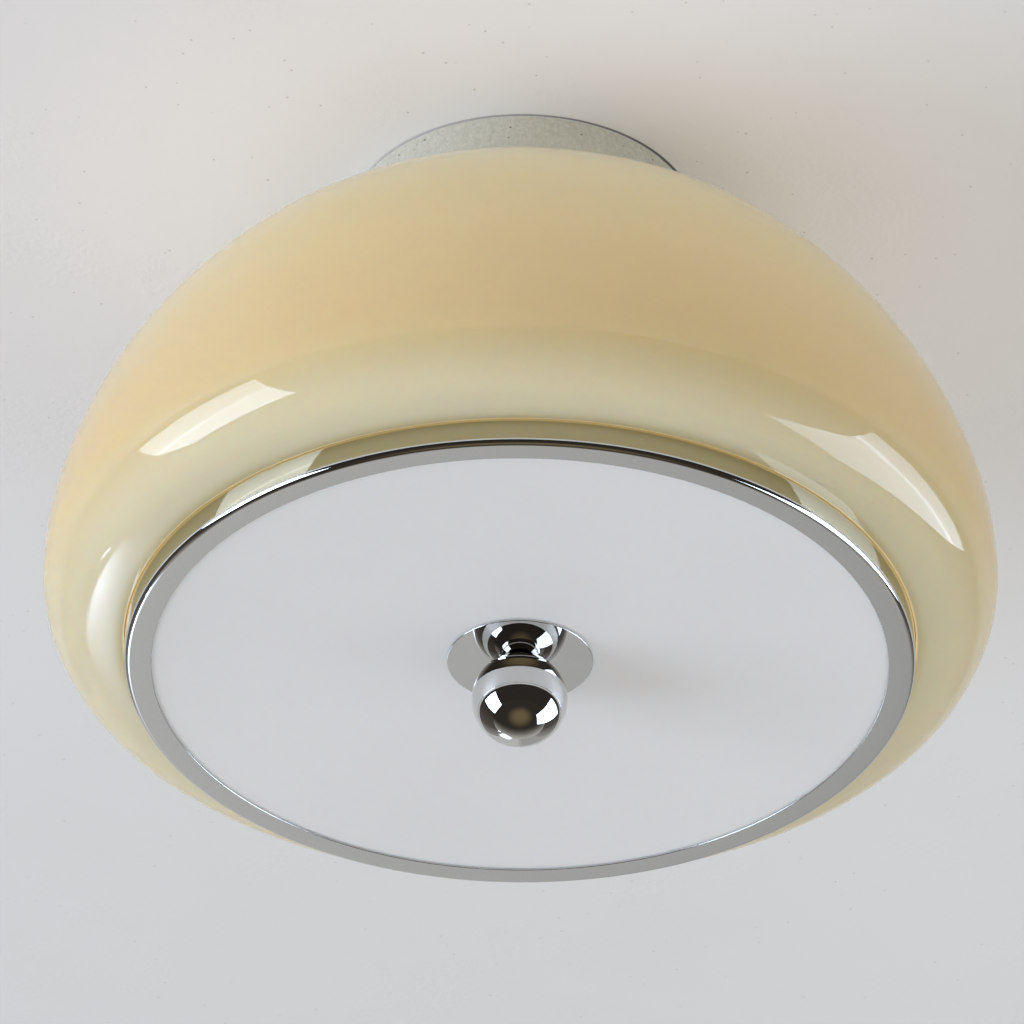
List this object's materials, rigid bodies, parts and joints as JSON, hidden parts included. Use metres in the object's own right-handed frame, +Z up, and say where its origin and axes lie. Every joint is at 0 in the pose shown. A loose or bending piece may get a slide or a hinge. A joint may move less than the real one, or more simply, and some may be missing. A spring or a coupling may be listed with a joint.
{
  "type": "glass ceiling light",
  "caption": "Flush ceiling light: a cream glass dome under a round canopy, closed by a chrome-rimmed opal diffuser that a chrome ball nut holds up.",
  "frame": {"origin": "centre of the bracket's top face, on the ceiling plane at the light's axis", "axes": "+Z up into the ceiling, X along the bracket, -Y towards the picture's viewer"},
  "size_m": [0.3999, 0.4, 0.2686],
  "materials": {
    "canopy_paint": "light warm grey paint with a fine hammered texture",
    "shade_glass": "glossy cream cased glass, opaque to clear view",
    "trim_chrome": "mirror chrome plate",
    "diffuser_acrylic": "opal white, satin to gloss",
    "zinc_steel": "bright zinc plate",
    "spring_steel": "plain spring steel",
    "terminal_plastic": "off-white moulded plastic",
    "contact_brass": "plain brass",
    "gasket_rubber": "black rubber",
    "fibre_washer": "red fibre sheet",
    "porcelain": "white glazed porcelain",
    "lamp_cap_metal": "plain aluminium",
    "lamp_housing_plastic": "white moulded plastic",
    "lamp_globe_plastic": "opal white",
    "earth_insulation": "green and yellow insulation",
    "live_insulation": "brown insulation",
    "neutral_insulation": "blue insulation"
  },
  "bodies": {
    "root": {"canopy_pan": "canopy_paint", "glass_shade": "shade_glass", "ceiling_bracket": "zinc_steel", "canopy_screws": "zinc_steel", "centre_rod": "zinc_steel", "top_nut": "zinc_steel", "top_lock_washer": "zinc_steel", "holder_plate": "zinc_steel", "plate_nut": "zinc_steel", "plate_lock_washer": "zinc_steel", "lamp_bracket": "zinc_steel", "bracket_nut_upper": "zinc_steel", "bracket_nut_lower": "zinc_steel", "bracket_lock_washer": "zinc_steel", "holder_screws": "zinc_steel", "stop_nut": "zinc_steel", "spacer_sleeve": "zinc_steel", "earth_screw": "zinc_steel", "block_screws": "zinc_steel", "terminal_block": "terminal_plastic", "terminal_tubes": "contact_brass", "terminal_screws": "contact_brass", "earth_tag": "contact_brass", "screw_shell_1": "contact_brass", "screw_shell_2": "contact_brass", "screw_shell_3": "contact_brass", "centre_contact_1": "contact_brass", "centre_contact_2": "contact_brass", "centre_contact_3": "contact_brass", "upper_gasket": "gasket_rubber", "lower_gasket": "gasket_rubber", "canopy_grommet": "gasket_rubber", "plate_grommet": "gasket_rubber", "stop_washer": "fibre_washer", "lampholder_1": "porcelain", "lampholder_2": "porcelain", "lampholder_3": "porcelain", "lamp_cap_1": "lamp_cap_metal", "lamp_cap_2": "lamp_cap_metal", "lamp_cap_3": "lamp_cap_metal", "lamp_housing_1": "lamp_housing_plastic", "lamp_housing_2": "lamp_housing_plastic", "lamp_housing_3": "lamp_housing_plastic", "lamp_globe_1": "lamp_globe_plastic", "lamp_globe_2": "lamp_globe_plastic", "lamp_globe_3": "lamp_globe_plastic", "earth_lead": "earth_insulation", "live_lead": "live_insulation", "neutral_lead": "neutral_insulation"},
    "diffuser": {"trim_ring": "trim_chrome", "ring_clips": "spring_steel", "diffuser_disc": "diffuser_acrylic", "finial_washer": "trim_chrome"},
    "finial": {"finial_ball": "trim_chrome"}
  },
  "joints": [
    {"name": "diffuser_drop", "type": "slide", "parent": "root", "child": "diffuser", "axis": [0, 0, -1], "range_m": [0, 0.012]},
    {"name": "finial_turn", "type": "hinge", "parent": "diffuser", "child": "finial", "pos_m": [0, 0, -0.24], "axis": [0, 0, -1], "range_deg": [0, 4320]}
  ],
  "couplings": [
    {"joint": "diffuser_drop", "follows": "finial_turn", "m_per_rad": 0.00015915}
  ]
}
